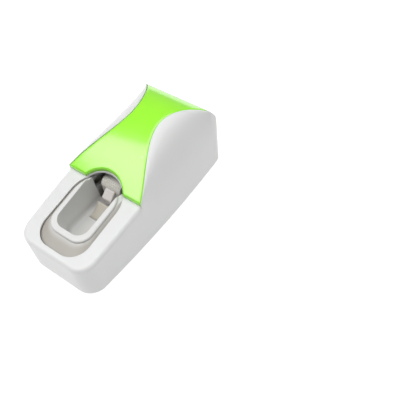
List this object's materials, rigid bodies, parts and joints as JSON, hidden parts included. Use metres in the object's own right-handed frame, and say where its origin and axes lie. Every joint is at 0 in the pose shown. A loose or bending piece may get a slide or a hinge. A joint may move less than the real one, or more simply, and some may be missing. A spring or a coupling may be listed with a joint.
{
  "type": "toothpaste dispenser",
  "caption": "Wall-mounted hands-free toothpaste dispenser: white shell, lime hourglass cover, pivoted push cup, piston pump and soft socket for an upturned tube.",
  "frame": {"origin": "middle of the back, in the plane of the wall", "axes": "+Z out of the wall towards the user, +Y up the wall towards the end that takes the tube, +X to the right seen from the front"},
  "size_m": [0.067, 0.156, 0.0644],
  "materials": {
    "white_plastic": "moulded, semi-gloss",
    "lime_plastic": "moulded, high gloss",
    "cup_plastic": "moulded, semi-gloss",
    "pump_plastic": "moulded, natural",
    "nozzle_plastic": "moulded, fine ribs",
    "silicone": "soft, translucent",
    "tip_silicone": "soft, pale",
    "steel": "drawn",
    "foam_tape": "foam tape with a paper liner"
  },
  "bodies": {
    "housing": {"front_shell": "white_plastic", "front_cover": "lime_plastic", "back_plate": "white_plastic", "back_screws": "steel", "mounting_tape": "foam_tape", "pivot_pin": "steel", "pump_cylinder": "pump_plastic", "pump_cap": "pump_plastic", "return_spring": "steel", "feed_tube": "silicone", "outlet_tube": "silicone", "inlet_valve": "silicone", "outlet_valve": "silicone", "tube_socket": "pump_plastic", "socket_sleeve": "silicone", "nozzle_housing": "nozzle_plastic", "nozzle_tip": "tip_silicone"},
    "lever": {"push_cup": "cup_plastic", "cup_pad": "silicone"},
    "pump_rod": {"plunger": "pump_plastic", "plunger_seal": "silicone"}
  },
  "joints": [
    {"name": "cup_push", "type": "hinge", "parent": "housing", "child": "lever", "pos_m": [0, 0.044, 0.02], "axis": [1, 0, 0], "range_deg": [0, 5], "stiffness_Nm_per_rad": 1.5, "springref_deg": -4.01},
    {"name": "plunger_stroke", "type": "slide", "parent": "housing", "child": "pump_rod", "axis": [0, 0, -1], "range_m": [0, 0.0028], "deforming": ["return_spring"]}
  ],
  "couplings": [
    {"joint": "plunger_stroke", "follows": "cup_push", "m_per_rad": 0.032}
  ]
}
